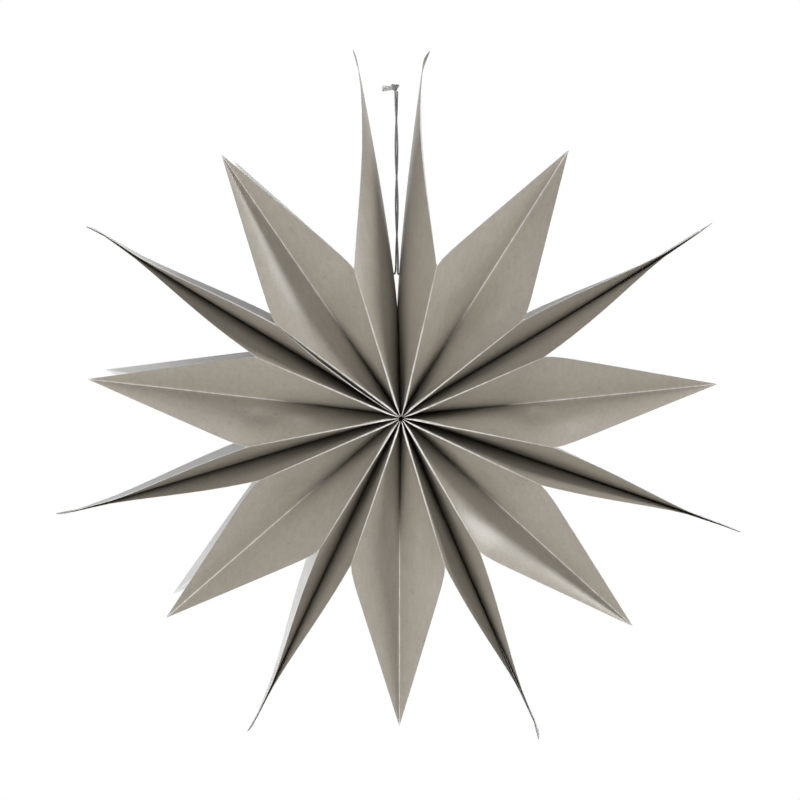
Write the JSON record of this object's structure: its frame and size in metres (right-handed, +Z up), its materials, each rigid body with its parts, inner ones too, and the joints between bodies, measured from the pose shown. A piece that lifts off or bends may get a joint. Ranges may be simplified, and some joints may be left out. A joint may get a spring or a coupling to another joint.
{
  "type": "paper star",
  "caption": "Grey hanging star of gusseted paper bags with pointed ends, glued side by side, fanned into a ring and tied shut by a twisted cord that ends in a knot.",
  "frame": {"origin": "where the cord enters its top knot, the point that the star hangs from", "axes": "+X to the right of the front view, +Y from the front to the rear along the hub line, +Z up"},
  "size_m": [0.5774, 0.125, 0.5811],
  "materials": {
    "paper": "matte grey uncoated paper",
    "cord": "twisted grey cotton cord"
  },
  "bodies": {
    "root": {"paper_bag_1": "paper", "paper_bag_2": "paper", "paper_bag_3": "paper", "paper_bag_4": "paper", "paper_bag_5": "paper", "paper_bag_6": "paper", "paper_bag_7": "paper", "cord_strand_left": "cord", "cord_strand_right": "cord", "cord_knot": "cord", "stopper_knot_left": "cord", "stopper_knot_right": "cord"}
  },
  "joints": []
}
